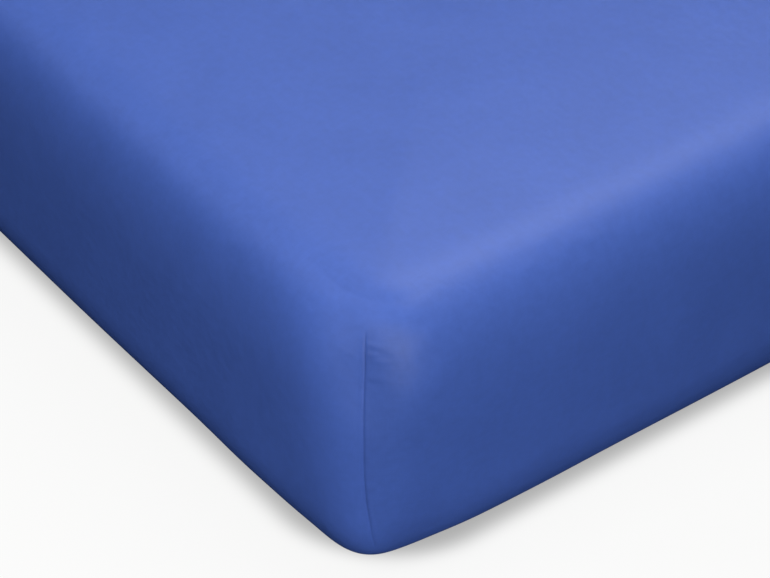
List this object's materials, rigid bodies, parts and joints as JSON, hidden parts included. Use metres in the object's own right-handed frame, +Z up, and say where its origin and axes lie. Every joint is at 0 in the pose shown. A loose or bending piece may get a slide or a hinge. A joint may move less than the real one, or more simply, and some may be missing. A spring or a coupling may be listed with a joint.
{
  "type": "fitted sheet on a mattress",
  "caption": "Royal blue jersey fitted sheet stretched over a plain single mattress, with soft rolled edges, sewn corner seams and an elastic hem turned under",
  "frame": {"origin": "centre of the footprint, on the surface that the underside of the turned-under cloth rests on", "axes": "+X across the bed, +Y from foot to head along the bed, +Z up; the corner nearest the camera in the picture is at +X, -Y"},
  "size_m": [0.9, 2, 0.22],
  "materials": {
    "jersey": "fine single jersey knit, dyed royal blue, matt with a faint bloom at grazing angles",
    "ticking": "plain white woven ticking, matt"
  },
  "bodies": {
    "root": {"fitted_sheet": "jersey", "mattress": "ticking"}
  },
  "joints": []
}
